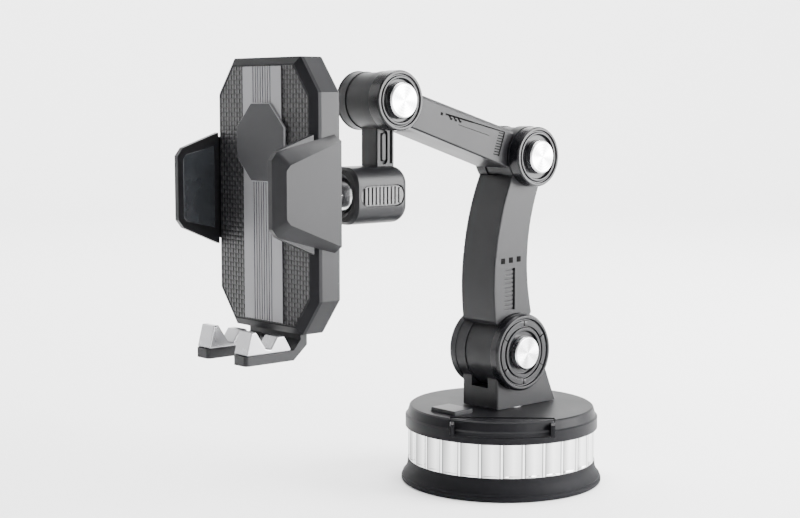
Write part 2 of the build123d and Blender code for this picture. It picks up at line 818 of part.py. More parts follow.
with BuildPart() as upper_arm:
    plate_x(
        [
            on_upper(0, half_at_elbow),
            on_upper(upper_length, half_at_wrist),
            on_upper(upper_length, -half_at_wrist),
            on_upper(0, -half_at_elbow),
        ],
        -upper_half,
        upper_half,
    )
    top_edges = [e for e in upper_arm.edges().filter_by(lambda e: e.length > upper_length - 2)]
    chamfer(sorted(top_edges, key=lambda e: e.center().Z)[2:], 1.6)
    chamfer(sorted(top_edges, key=lambda e: e.center().Z)[:2], 0.6)
    # tongue at the elbow
    round_x(elbow, elbow_cut, -upper_half, upper_half, Mode.SUBTRACT)
    plate_x(
        [
            on_upper(0, half_at_elbow - 1.5),
            on_upper(elbow_cut + 2, half_at_elbow - 1.5),
            on_upper(elbow_cut + 2, -half_at_elbow + 1.5),
            on_upper(0, -half_at_elbow + 1.5),
        ],
        -knuckle_half,
        knuckle_half,
    )
    round_x(elbow, elbow_knuckle, -knuckle_half, knuckle_half)
    round_x(elbow, bolt_radius + pin_gap, -knuckle_half, knuckle_half, Mode.SUBTRACT)
    # fork at the wrist
    round_x(wrist, wrist_ear, -upper_half, upper_half)
    round_x(wrist, wrist_knuckle + sweep_gap, -slot_half, slot_half, Mode.SUBTRACT)
    plate_x(
        [
            wrist,
            along(wrist, 40, upper_angle + 180 - 20),
            along(wrist, 60, 250),
            along(wrist, 60, 180),
            along(wrist, 60, 110),
            along(wrist, 40, upper_angle + 180 + 75),
        ],
        -slot_half,
        slot_half,
        Mode.SUBTRACT,
    )
    round_x(wrist, bolt_radius + pin_gap, -upper_half, upper_half, Mode.SUBTRACT)
    round_x(wrist, cavity_radius, -upper_half, -upper_half + 2.4, Mode.SUBTRACT)
    # hollow, closed by a cover on the far side
    upper_cover_x = (-upper_half, -upper_half + cover_depth)
    plate_x(
        upper_cover_outline(0),
        upper_cover_x[0] - 0.1,
        upper_cover_x[1],
        Mode.SUBTRACT,
    )
    plate_x(
        upper_cover_outline(1.6),
        upper_cover_x[1],
        upper_half - 3.0,
        Mode.SUBTRACT,
    )
finish_part(upper_arm, "upper_arm")

with BuildPart() as upper_arm_cover:
    plate_x(
        upper_cover_outline(slide_gap),
        upper_cover_x[0],
        upper_cover_x[1],
    )
finish_part(upper_arm_cover, "upper_arm_cover")

# ---------------------------------------------------------------- neck and ball joint
strut_y = wrist[0] + 1.3
neck_back = wrist[0] + 8.6
neck_front = neck_back - neck_length
liner_thickness = 1.4
ball_gap = 0.1
socket_radius = ball_radius + 2 * ball_gap + liner_thickness
neck_half_width = socket_radius + neck_side_wall
neck_height = 2 * (socket_radius + neck_top_wall)
neck_top = ball_z + neck_height / 2
grip_y = (neck_back - 3.4, neck_back - neck_length + 2.6)
grip_half = 3.9
nut_radius = socket_radius + 0.5
nut_floor = ball_y - 3.1
lip_radius = ball_radius - 1.3

with BuildPart() as neck:
    with BuildSketch(facing(neck_back)):
        with Locations((0, ball_z)):
            RectangleRounded(2 * neck_half_width, neck_height, 7.5)
    extrude(amount=neck_length)
    fillet(neck.edges().group_by(Axis.Y)[-1], 4.5)
    chamfer(neck.edges().group_by(Axis.Y)[0], 1.2)
    block(
        (-strut_half, strut_half),
        (strut_y - strut_depth / 2, strut_y + strut_depth / 2),
        (neck_top - 3, wrist[1] - 4),
    )
    fillet(
        neck.edges().filter_by(Axis.Z).filter_by(lambda e: e.center().Z > neck_top + 1),
        0.6,
    )
    round_x(wrist, wrist_knuckle, -knuckle_half, knuckle_half)
    round_x(wrist, wrist_ear + sweep_gap, -strut_half - 1, -knuckle_half, Mode.SUBTRACT)
    round_x(wrist, wrist_ear + sweep_gap, knuckle_half, strut_half + 1, Mode.SUBTRACT)
    round_x(wrist, bolt_radius + pin_gap, -knuckle_half, knuckle_half, Mode.SUBTRACT)
    # ball socket: a spherical hollow and a seat for the nut in front of it
    with Locations((0, ball_y, ball_z)):
        Sphere(socket_radius, mode=Mode.SUBTRACT)
    with BuildSketch(facing(nut_floor)):
        with Locations((0, ball_z)):
            Circle(nut_radius + 0.05)
    extrude(amount=20, mode=Mode.SUBTRACT)
    # oval recesses for the ribbed grips
    for side in (-1, 1):
        with BuildSketch(across(side * neck_half_width)):
            with Locations(((grip_y[0] + grip_y[1]) / 2, ball_z)):
                SlotOverall(grip_y[0] - grip_y[1] + 1.0, 2 * grip_half + 1.0)
        extrude(amount=-side * 1.4, mode=Mode.SUBTRACT)
    # recess for the strut inlay and a groove beside it
    with BuildSketch(across(strut_half)):
        with Locations((strut_y - 0.9, (neck_top + wrist[1] - 12) / 2 + 0.4)):
            SlotOverall(14.2, 4.0, rotation=90)
    extrude(amount=-1.2, mode=Mode.SUBTRACT)
    block(
        (strut_half - 1.0, strut_half + 1),
        (strut_y + 2.2, strut_y + 3.6),
        (neck_top + 1.0, wrist[1] - 10),
        Mode.SUBTRACT,
    )
finish_part(neck, "neck")

with BuildPart() as strut_inlay:
    with BuildSketch(across(strut_half - 1.2)):
        with Locations((strut_y - 0.9, (neck_top + wrist[1] - 12) / 2 + 0.4)):
            SlotOverall(11.6, 2.4, rotation=90)
    extrude(amount=1.2)
    fillet(strut_inlay.edges().group_by(Axis.X)[-1], 0.5)
finish_part(strut_inlay, "strut_inlay")

rib_count = 10
with BuildPart() as grip_inlays:
    for side in (-1, 1):
        with BuildSketch(across(side * (neck_half_width - 1.4))):
            with Locations(((grip_y[0] + grip_y[1]) / 2, ball_z)):
                SlotOverall(grip_y[0] - grip_y[1], 2 * grip_half)
        extrude(amount=side * 1.0)
        pitch = (grip_y[0] - grip_y[1] - 2.4) / rib_count
        for number in range(rib_count):
            rib_place = grip_y[1] + 1.2 + pitch * (number + 0.5)
            reach = min(rib_place - grip_y[1], grip_y[0] - rib_place)
            rise = grip_half if reach > grip_half else sqrt(grip_half**2 - (grip_half - reach) ** 2)
            with BuildSketch(across(side * (neck_half_width - 0.5))):
                with Locations((rib_place, ball_z)):
                    SlotOverall(2 * rise - 0.6, pitch * 0.62, rotation=90)
            extrude(amount=side * 0.8)
finish_part(grip_inlays, "grip_inlays")

with BuildPart() as socket_nut:
    place = Plane(origin=(0, ball_y, ball_z), x_dir=(1, 0, 0), z_dir=(0, 0, 1))
    with BuildSketch(place):
        Polygon(
            (lip_radius, -4.6),
            (nut_radius - 1.2, neck_front - ball_y),
            (nut_radius, neck_front - ball_y),
            (nut_radius, -3.15),
            (lip_radius, -3.15),
            align=None,
        )
    revolve(axis=Axis((0, ball_y, ball_z), (0, 1, 0)))
    with Locations((0, ball_y, ball_z)):
        Sphere(ball_radius + ball_gap, mode=Mode.SUBTRACT)
finish_part(socket_nut, "socket_nut")

with BuildPart() as ball_liner:
    with Locations((0, ball_y, ball_z)):
        Sphere(ball_radius + ball_gap + liner_thickness)
        Sphere(ball_radius + ball_gap, mode=Mode.SUBTRACT)
    block((-20, 20), (ball_y - 20, ball_y + 1.6), (ball_z - 20, ball_z + 20), Mode.SUBTRACT)
finish_part(ball_liner, "ball_liner")

boss_depth = 13.0
boss_front = head_back + boss_depth
stem_end = head_back + 3.0
flange_thickness = 3.0
with BuildPart() as ball_stud:
    with Locations((0, ball_y, ball_z)):
        Sphere(ball_radius)
    with BuildSketch(facing(ball_y)):
        with Locations((0, ball_z)):
            Circle(ball_stem_radius)
    extrude(amount=ball_y - stem_end)
    with BuildSketch(facing(boss_front + 1.4)):
        with Locations((0, ball_z)):
            Circle(ball_stem_radius + 1.6)
    extrude(amount=1.2)
    with BuildSketch(facing(stem_end + flange_thickness)):
        with Locations((0, ball_z)):
            Circle(ball_stem_radius + 1.6)
    extrude(amount=flange_thickness)
finish_part(ball_stud, "ball_stud")


# ---------------------------------------------------------------- clamp head
def octagon(half_width, half_height, cut_x, cut_z):
    """The head's long octagon, as points in X and Z."""
    corners = [
        (half_width, half_height - cut_z),
        (half_width - cut_x, half_height),
        (-half_width + cut_x, half_height),
        (-half_width, half_height - cut_z),
    ]
    lower = [(x, -z) for x, z in reversed(corners)]
    return [(x, head_z + z) for x, z in corners + lower]


split_y = face_y + bezel_depth + 1.4  # joint between bezel and rear shell
shell_wall = 2.0
panel_half = head_half_width - bezel_edge - 0.4
panel_half_height = head_half_height - bezel_edge - 0.4
panel_cut_x = head_corner_x - 1.1
panel_cut_z = head_corner_z - 1.1
rack_height = 7.0
rack_thickness = 3.0
rack_offset = 7.4
rack_y = head_back - 5.4
clamp_z = head_z + clamp_height
side_face = head_half_width + slide_gap
foot_slider_half = foot_spacing / 2 + foot_width / 2 + slide_gap
pinion_radius = rack_offset - rack_height / 2 - 0.4
key_z = head_z - head_half_height + 21.8
key_seat = -head_half_width + shell_wall + 1.0  # inner face of the release key's flange seat
screw_x = head_half_width - 8.5
screw_z = head_half_height - 13.8
screw_places = [(x, head_z + z) for x in (-screw_x, screw_x) for z in (-screw_z, screw_z)]
screw_shank = 1.1
screw_head = 2.1
pinion_bore = 1.6

with BuildPart() as head_shell:
    plate_y(octagon(head_half_width, head_half_height, head_corner_x, head_corner_z), split_y, head_back)
    fillet(head_shell.edges().group_by(Axis.Y)[-1], 1.6)
    inner = octagon(
        head_half_width - shell_wall,
        head_half_height - shell_wall,
        head_corner_x - 0.6,
        head_corner_z - 0.6,
    )
    plate_y(inner, split_y - 1, head_back - shell_wall, Mode.SUBTRACT)
    # boss that carries the ball stud
    with BuildSketch(facing(head_back)):
        with Locations((0, ball_z)):
            Circle(15.0)
    with BuildSketch(facing(boss_front)):
        with Locations((0, ball_z)):
            Circle(8.5)
    loft()
    with BuildSketch(facing(boss_front + 0.1)):
        with Locations((0, ball_z)):
            Circle(ball_stem_radius + pin_gap)
    extrude(amount=boss_front - stem_end, mode=Mode.SUBTRACT)
    with BuildSketch(facing(stem_end + flange_thickness + slide_gap)):
        with Locations((0, ball_z)):
            Circle(ball_stem_radius + 1.8)
    extrude(amount=flange_thickness + 2 * slide_gap, mode=Mode.SUBTRACT)
    # slots for the two clamp racks
    for side in (-1, 1):
        low = clamp_z + side * rack_offset - rack_height / 2 - slide_gap
        block(
            (min(0, side * 40), max(0, side * 40)),
            (rack_y - rack_thickness / 2 - slide_gap, rack_y + rack_thickness / 2 + slide_gap),
            (low, low + rack_height + 2 * slide_gap),
            Mode.SUBTRACT,
        )
    # spindle for the pinion, and a wall behind the release spring
    with BuildSketch(facing(head_back - shell_wall)):
        with Locations((0, clamp_z)):
            Circle(pinion_bore)
    extrude(amount=rack_thickness + 2.4)
    block(
        (key_seat + 5.6, key_seat + 7.4),
        (head_back - 8.0, head_back - shell_wall),
        (key_z - 3.4, key_z + 3.4),
    )
    # sunk holes for the four screws
    for depth, radius in ((shell_wall + 1, screw_shank + 0.1), (1.4, screw_head + 0.2)):
        with BuildSketch(facing(head_back)):
            with Locations(*screw_places):
                Circle(radius)
        extrude(amount=depth, mode=Mode.SUBTRACT)
    # mouth for the foot slider
    block(
        (-foot_slider_half - slide_gap, foot_slider_half + slide_gap),
        (head_back - 8.4, head_back - 4.8),
        (head_z - head_half_height - 1, head_z - head_half_height + shell_wall + 1),
        Mode.SUBTRACT,
    )
    # hole for the release key on the side
    block(
        (-head_half_width - 1, key_seat),
        (head_back - 7.6, head_back - 2.9),
        (key_z - 5.2, key_z + 5.2),
        Mode.SUBTRACT,
    )
finish_part(head_shell, "head_shell")

with BuildPart() as head_bezel:
    plate_y(octagon(head_half_width, head_half_height, head_corner_x, head_corner_z), face_y, split_y)
    chamfer(head_bezel.edges().group_by(Axis.Y)[0], bezel_depth, bezel_edge)
    plate_y(octagon(panel_half, panel_half_height, panel_cut_x, panel_cut_z), face_y - 1, face_y + 1.8, Mode.SUBTRACT)
    ledge = octagon(panel_half - 8, panel_half_height - 8, panel_cut_x, panel_cut_z)
    plate_y(ledge, face_y, split_y, Mode.SUBTRACT)
    # four posts that take the screws
    with BuildSketch(facing(head_back - shell_wall - 0.2)):
        with Locations(*screw_places):
            Circle(2.5)
    extrude(amount=head_back - shell_wall - 0.2 - split_y + 0.5)
    with BuildSketch(facing(head_back - shell_wall - 0.2)):
        with Locations(*screw_places):
            Circle(screw_shank)
    extrude(amount=6.2, mode=Mode.SUBTRACT)
finish_part(head_bezel, "head_bezel")

strip_top = head_z + head_half_height - 3.5
strip_bottom = head_z - head_half_height + 3.9
with BuildPart() as weave_panel:
    plate_y(
        octagon(panel_half - 0.1, panel_half_height - 0.1, panel_cut_x, panel_cut_z),
        face_y,
        face_y + 1.8,
    )
    block(
        (-strip_half_width - 0.05, strip_half_width + 0.05),
        (face_y - 1, face_y + 0.8),
        (strip_bottom - 0.05, strip_top + 0.05),
        Mode.SUBTRACT,
    )
finish_part(weave_panel, "weave_panel")

badge_half = 15.3
badge_tip_half = 6.0
badge_z = head_z + 20.2
badge_half_height = 15.2
badge_side_half = 6.0
groove_count = 8
with BuildPart() as ribbed_strip:
    block(
        (-strip_half_width, strip_half_width),
        (face_y - 0.5, face_y + 0.8),
        (strip_bottom, strip_top),
    )
    for number in range(groove_count):
        groove_x = (number - (groove_count - 1) / 2) * 1.55
        block(
            (groove_x - 0.25, groove_x + 0.25),
            (face_y - 1, face_y + 0.1),
            (strip_bottom - 1, strip_top + 1),
            Mode.SUBTRACT,
        )
finish_part(ribbed_strip, "ribbed_strip")

badge_points = [
    (badge_tip_half, badge_half_height),
    (-badge_tip_half, badge_half_height),
    (-badge_half, badge_side_half),
    (-badge_half, -badge_side_half),
    (-badge_tip_half, -badge_half_height),
    (badge_tip_half, -badge_half_height),
    (badge_half, -badge_side_half),
    (badge_half, badge_side_half),
]
with BuildPart() as badge_plate:
    with BuildSketch(facing(face_y - 0.5)):
        with Locations((0, badge_z)):
            Polygon(*badge_points, align=None)
    extrude(amount=0.9)
    chamfer(badge_plate.edges().group_by(Axis.Y)[0], 0.3)
finish_part(badge_plate, "badge_plate")

with BuildPart() as head_screws:
    with BuildSketch(facing(head_back - 0.3)):
        with Locations(*screw_places):
            Circle(screw_head)
    extrude(amount=1.0)
    with BuildSketch(facing(head_back - 1.3)):
        with Locations(*screw_places):
            Circle(screw_shank - 0.02)
    extrude(amount=6.4)
finish_part(head_screws, "head_screws")

# clamp arms: a bevelled outer shell, a hooked front lip and a toothed rack
tip_y = face_y - clamp_reach
arm_back = head_back - 3.4
inner_face = [
    (arm_back, clamp_z - 22.0),
    (arm_back, clamp_z + 22.6),
    (tip_y + 2.5, clamp_z + 16.8),
    (tip_y, clamp_z + 13.6),
    (tip_y, clamp_z - 11.6),
    (tip_y + 2.5, clamp_z - 14.8),
]
outer_face = [
    (arm_back, clamp_z - 19.4),
    (arm_back, clamp_z + 20.3),
    (tip_y + 5.4, clamp_z + 11.8),
    (tip_y + 3.6, clamp_z + 9.8),
    (tip_y + 3.6, clamp_z - 8.0),
    (tip_y + 5.4, clamp_z - 10.0),
]
arm_thickness = 4.2
lip_thickness = 2.4
pad_depth = 0.9
pad_face = [
    (face_y - 2.4, clamp_z - 15.4),
    (face_y - 2.4, clamp_z + 17.4),
    (tip_y + 3.6, clamp_z + 14.2),
    (tip_y + 2.3, clamp_z + 12.6),
    (tip_y + 2.3, clamp_z - 10.8),
    (tip_y + 3.6, clamp_z - 12.4),
]
tooth_pitch = 2.0
for side, name in ((-1, "left"), (1, "right")):
    inner_x = side * side_face
    lip_x = side * (side_face - lip_thickness)
    outer_x = side * (side_face + arm_thickness)
    with BuildPart() as clamp_arm:
        with BuildSketch(across(inner_x)) as near_face:
            Polygon(*inner_face, align=None)
        with BuildSketch(across(outer_x)) as far_face:
            Polygon(*outer_face, align=None)
        loft([near_face.sketch.face(), far_face.sketch.face()])
        lip_points = [(min(y, face_y - slide_gap), z) for y, z in inner_face]
        plate_x(lip_points, min(inner_x, lip_x), max(inner_x, lip_x))
        low, high = sorted((lip_x, lip_x + side * pad_depth))
        plate_x(pad_face, low, high, Mode.SUBTRACT)
        rack_low = clamp_z + side * rack_offset - rack_height / 2
        reach = sorted((inner_x, -side * (head_half_width - 16.0)))
        block(
            reach,
            (rack_y - rack_thickness / 2, rack_y + rack_thickness / 2),
            (rack_low, rack_low + rack_height),
        )
    finish_part(clamp_arm, f"{name}_clamp_arm")

    with BuildPart() as clamp_pad:
        low, high = sorted((lip_x - side * 0.2, lip_x + side * pad_depth))
        inset = 0.1
        plate_x(
            [
                (pad_face[0][0] - inset, pad_face[0][1] + inset),
                (pad_face[1][0] - inset, pad_face[1][1] - inset),
                (pad_face[2][0] + inset, pad_face[2][1] - inset),
                (pad_face[3][0] + inset, pad_face[3][1] - inset),
                (pad_face[4][0] + inset, pad_face[4][1] + inset),
                (pad_face[5][0] + inset, pad_face[5][1] + inset),
            ],
            low,
            high,
        )
    finish_part(clamp_pad, f"{name}_clamp_pad")

with BuildPart() as rack_pinion:
    with BuildSketch(facing(rack_y + rack_thickness / 2)):
        with Locations((0, clamp_z)):
            Circle(pinion_radius)
            Circle(pinion_bore + pin_gap, mode=Mode.SUBTRACT)
    extrude(amount=rack_thickness)
finish_part(rack_pinion, "rack_pinion")

# foot: two hooked bars on a slider, each with a bright cradle
foot_top = head_z - head_half_height - 6.5
foot_floor = foot_top - 3.8
foot_tip = face_y - 21.2
foot_back = head_back - 5.0
with BuildPart() as foot_frame:
    for side in (-1, 1):
        x_low = side * foot_spacing / 2 - foot_width / 2
        plate_x(
            [
                (foot_tip, foot_floor),
                (foot_back - 6.5, foot_floor),
                (foot_back, foot_floor + 5.5),
                (foot_back, head_z - head_half_height + 6),
                (foot_back - 3.2, head_z - head_half_height + 6),
                (foot_back - 3.2, foot_top + 4.0),
                (foot_back - 6.6, foot_top),
                (foot_tip, foot_top),
            ],
            x_low,
            x_low + foot_width,
        )
    block(
        (-foot_spacing / 2, foot_spacing / 2),
        (foot_back - 3.2, foot_back),
        (foot_floor + 6.0, head_z - head_half_height + 6),
    )
    block(
        (-foot_slider_half, foot_slider_half),
        (foot_back - 3.2, foot_back),
        (head_z - head_half_height + 4.5, head_z - head_half_height + 24),
    )
    fillet(foot_frame.edges().filter_by(Axis.Z).group_by(Axis.Y)[0], 1.6)
finish_part(foot_frame, "foot_frame")

cradle_side = [
    (foot_tip + 0.6, foot_top),
    (foot_tip + 3.0, foot_top + 8.9),
    (foot_tip + 5.2, foot_top + 8.9),
    (foot_tip + 9.6, foot_top + 2.2),
    (foot_tip + 12.0, foot_top + 1.6),
    (foot_tip + 15.2, foot_top + 6.2),
    (foot_tip + 18.4, foot_top + 6.2),
    (foot_back - 7.4, foot_top),
]
with BuildPart() as foot_cradles:
    for side in (-1, 1):
        x_low = side * foot_spacing / 2 - foot_width / 2
        plate_x(cradle_side, x_low, x_low + foot_width)
    fillet(foot_cradles.edges().filter_by(Axis.X), 0.6)
finish_part(foot_cradles, "foot_cradles")

# side key that lets the sprung clamps go
with BuildPart() as release_key:
    block(
        (-head_half_width - 1.0, key_seat),
        (head_back - 7.4, head_back - 3.1),
        (key_z - 5.0, key_z + 5.0),
    )
    fillet(release_key.edges().filter_by(Axis.X), 0.8)
    block(
        (key_seat, key_seat + 1.6),
        (head_back - 8.0, head_back - 2.5),
        (key_z - 6.0, key_z + 6.0),
    )
finish_part(release_key, "release_key")

with BuildPart() as release_spring:
    with BuildLine() as path:
        start = (key_seat + 2.15, head_back - 5.25, key_z)
        Helix(pitch=0.9, height=3.1, radius=1.6, center=start, direction=(1, 0, 0))
    with BuildSketch(Plane(origin=path.line @ 0, z_dir=path.line % 0)) as section:
        Circle(0.25)
    sweep(section.sketch, path=path.line)
finish_part(release_spring, "release_spring")

with BuildPart() as clamp_spring:
    with BuildLine() as path:
        start = (0, head_back - shell_wall - 0.4, clamp_z)
        Helix(pitch=0.75, height=1.2, radius=2.5, center=start, direction=(0, -1, 0))
    with BuildSketch(Plane(origin=path.line @ 0, z_dir=path.line % 0)) as section:
        Circle(0.25)
    sweep(section.sketch, path=path.line)
finish_part(clamp_spring, "clamp_spring")
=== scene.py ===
import json
import math

import bpy
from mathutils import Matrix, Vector

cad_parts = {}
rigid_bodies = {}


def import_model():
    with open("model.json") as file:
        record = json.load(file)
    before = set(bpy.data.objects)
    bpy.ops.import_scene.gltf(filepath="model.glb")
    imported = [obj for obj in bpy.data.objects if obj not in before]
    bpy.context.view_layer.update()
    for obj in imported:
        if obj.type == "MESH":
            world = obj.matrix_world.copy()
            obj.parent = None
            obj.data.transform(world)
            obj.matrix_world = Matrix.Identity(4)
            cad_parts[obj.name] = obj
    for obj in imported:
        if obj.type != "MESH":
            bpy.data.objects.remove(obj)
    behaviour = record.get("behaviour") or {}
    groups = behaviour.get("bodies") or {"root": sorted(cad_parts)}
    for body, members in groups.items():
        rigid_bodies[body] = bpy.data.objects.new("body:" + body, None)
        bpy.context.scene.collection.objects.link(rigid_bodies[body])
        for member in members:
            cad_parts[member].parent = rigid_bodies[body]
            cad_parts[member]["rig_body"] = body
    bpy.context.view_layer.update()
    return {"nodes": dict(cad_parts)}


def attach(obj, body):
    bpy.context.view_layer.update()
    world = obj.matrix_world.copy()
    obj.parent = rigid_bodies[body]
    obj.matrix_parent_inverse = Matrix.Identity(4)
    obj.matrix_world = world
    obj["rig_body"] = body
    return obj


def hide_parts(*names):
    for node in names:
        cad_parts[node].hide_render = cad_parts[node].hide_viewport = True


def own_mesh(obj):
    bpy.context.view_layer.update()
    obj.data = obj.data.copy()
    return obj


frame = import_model()
nodes = frame["nodes"]

# ------------------------------------------------------------------ moulded body parts
# The arms, the turntable fork, the neck, the base's cap, the lever and the head's shells are black
# ABS. The moulds are spark-eroded, so the faces have a fine grain and every edge a small radius.
merge_distance = 0.000002


def grained(name, colour, roughness, grain=0.12, cell=2600.0, specular=0.5, metallic=0.0):
    """A moulded or painted finish: fine grain in the bump, broad drift in shine and shade."""
    material = bpy.data.materials.new(name)
    material.use_nodes = True
    tree = material.node_tree
    shader = tree.nodes["Principled BSDF"]
    shader.inputs["Specular IOR Level"].default_value = specular
    shader.inputs["Metallic"].default_value = metallic
    place = tree.nodes.new("ShaderNodeTexCoord")
    fine = tree.nodes.new("ShaderNodeTexNoise")
    fine.inputs["Scale"].default_value = cell
    fine.inputs["Detail"].default_value = 3.0
    tree.links.new(place.outputs["Object"], fine.inputs["Vector"])
    broad = tree.nodes.new("ShaderNodeTexNoise")
    broad.inputs["Scale"].default_value = 45.0
    broad.inputs["Detail"].default_value = 4.0
    tree.links.new(place.outputs["Object"], broad.inputs["Vector"])
    shine = tree.nodes.new("ShaderNodeMapRange")
    shine.inputs["To Min"].default_value = roughness * 0.9
    shine.inputs["To Max"].default_value = roughness * 1.12
    tree.links.new(broad.outputs["Fac"], shine.inputs["Value"])
    tree.links.new(shine.outputs["Result"], shader.inputs["Roughness"])
    tint = tree.nodes.new("ShaderNodeMixRGB")
    tint.inputs["Color1"].default_value = (*[c * 0.88 for c in colour], 1)
    tint.inputs["Color2"].default_value = (*[c * 1.12 for c in colour], 1)
    tree.links.new(broad.outputs["Fac"], tint.inputs["Fac"])
    tree.links.new(tint.outputs["Color"], shader.inputs["Base Color"])
    bump = tree.nodes.new("ShaderNodeBump")
    bump.inputs["Strength"].default_value = grain
    bump.inputs["Distance"].default_value = 0.00005
    tree.links.new(fine.outputs["Fac"], bump.inputs["Height"])
    tree.links.new(bump.outputs["Normal"], shader.inputs["Normal"])
    return material


def soften(piece, width, segments, corner=30):
    """Round the edges sharper than corner, in degrees, and smooth the shading."""
    crease = math.radians(38)
    bevel = piece.modifiers.new("edge_radius", "BEVEL")
    bevel.width = width
    bevel.segments = segments
    bevel.limit_method = "ANGLE"
    bevel.angle_limit = math.radians(corner)
    bpy.ops.object.select_all(action="DESELECT")
    bpy.context.view_layer.objects.active = piece
    piece.select_set(True)
    bpy.ops.object.modifier_apply(modifier=bevel.name)
    bpy.ops.object.shade_smooth_by_angle(angle=crease)
    weighted = piece.modifiers.new("flat_faces", "WEIGHTED_NORMAL")
    weighted.keep_sharp = True
    bpy.ops.object.modifier_apply(modifier=weighted.name)


def moulded(name, material, radius=0.0003, segments=2, join=True):
    """A CAD part's copy with its edges rounded, in its place. join merges its flat faces first."""
    node = nodes[name]
    nearly_flat = math.radians(1.5)
    piece = bpy.data.objects.new(name + "_moulded", node.data.copy())
    bpy.context.scene.collection.objects.link(piece)
    bpy.ops.object.select_all(action="DESELECT")
    bpy.context.view_layer.objects.active = piece
    piece.select_set(True)
    bpy.ops.mesh.customdata_custom_splitnormals_clear()
    bpy.ops.object.mode_set(mode="EDIT")
    bpy.ops.mesh.select_all(action="SELECT")
    bpy.ops.mesh.remove_doubles(threshold=merge_distance)
    if join:
        bpy.ops.mesh.dissolve_limited(angle_limit=nearly_flat)
    bpy.ops.object.mode_set(mode="OBJECT")
    soften(piece, radius, segments)
    piece.data.materials.clear()
    piece.data.materials.append(material)
    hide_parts(name)
    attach(piece, node["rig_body"])
    return piece


body_black = grained("satin_black_abs", (0.006, 0.006, 0.007), 0.38, specular=0.20)
for name in (
    "lower_arm", "upper_arm", "lower_arm_cover", "upper_arm_cover", "turntable_fork", "neck",
):
    moulded(name, body_black)
for name in (
    "head_shell", "right_clamp_arm", "left_clamp_arm", "foot_frame", "release_key", "swivel_button",
):
    moulded(name, body_black, 0.00045, 3)
deep_black = grained(
    "fine_black_abs", (0.004, 0.004, 0.005), 0.44, grain=0.2, cell=1900.0, specular=0.09
)
for name in ("base_cap", "lock_lever"):
    moulded(name, deep_black, 0.00035, 3)
moulded("head_bezel", deep_black, 0.0003, 2, join=False)
for name in ("strut_inlay", "socket_nut"):
    moulded(name, body_black, 0.00012, 2)
grip_black = grained("grip_black_abs", (0.012, 0.012, 0.013), 0.28, grain=0.06, specular=0.4)
moulded("grip_inlays", grip_black, 0.0003, 3)

# ------------------------------------------------------------------ hinge dials
# Each hinge ends in a black dial turned with concentric rings round a deep well. The shoulder dial
# is the widest, and its middle ring is parted by six notches. Plain caps close the far ends.
bolt_hole = 0.0062


def turned(name, profile, centre, axis, steps=96, edge=0.0002, segments=2):
    """Spin an outline of (radius, place on the axis) round the line through centre.

    It starts from a plane merged to one point, which is drawn out along the outline.
    """
    bpy.ops.object.select_all(action="DESELECT")
    bpy.ops.mesh.primitive_plane_add(size=0.001)
    piece = bpy.context.object
    piece.name = name
    bpy.ops.object.mode_set(mode="EDIT")
    bpy.ops.mesh.select_all(action="SELECT")
    bpy.ops.mesh.merge(type="CENTER")
    corners = []
    for radius, along in profile:
        if axis == "X":
            corners.append(Vector((along, centre[0], centre[1] + radius)))
        else:
            corners.append(Vector((centre[0] + radius, centre[1], along)))
    bpy.ops.transform.translate(value=corners[0])
    for last, corner in zip(corners, corners[1:]):
        bpy.ops.mesh.extrude_region_move(TRANSFORM_OT_translate={"value": corner - last})
    bpy.ops.mesh.select_all(action="SELECT")
    middle = (0, *centre) if axis == "X" else (*centre, 0)
    line = (1, 0, 0) if axis == "X" else (0, 0, 1)
    bpy.ops.mesh.spin(steps=steps, angle=math.tau, center=middle, axis=line)
    bpy.ops.mesh.select_all(action="SELECT")
    bpy.ops.mesh.remove_doubles(threshold=merge_distance)
    bpy.ops.mesh.normals_make_consistent(inside=False)
    bpy.ops.object.mode_set(mode="OBJECT")
    soften(piece, edge, segments, 25)
    return piece


def rings(radius, disc, base, front):
    """The outline of a small dial, from its back face outwards and in to the well."""
    return [
        (bolt_hole, base),
        (radius, base),
        (radius, front - 0.0006),
        (radius - 0.0005, front),
        (radius - 0.0014, front),
        (radius - 0.0016, front - 0.0008),
        (radius - 0.0022, front - 0.0008),
        (radius - 0.0024, front - 0.0002),
        (radius - 0.0032, front - 0.0002),
        (radius - 0.0036, front - 0.0016),
        (disc + 0.0001, front - 0.0016),
        (disc + 0.0001, front - 0.0008),
        (bolt_hole, front - 0.0008),
        (bolt_hole, base),
    ]


shoulder = (-0.0012, 0.0594)
elbow = (0.006348, 0.14567)
wrist = (-0.074929, 0.170209)
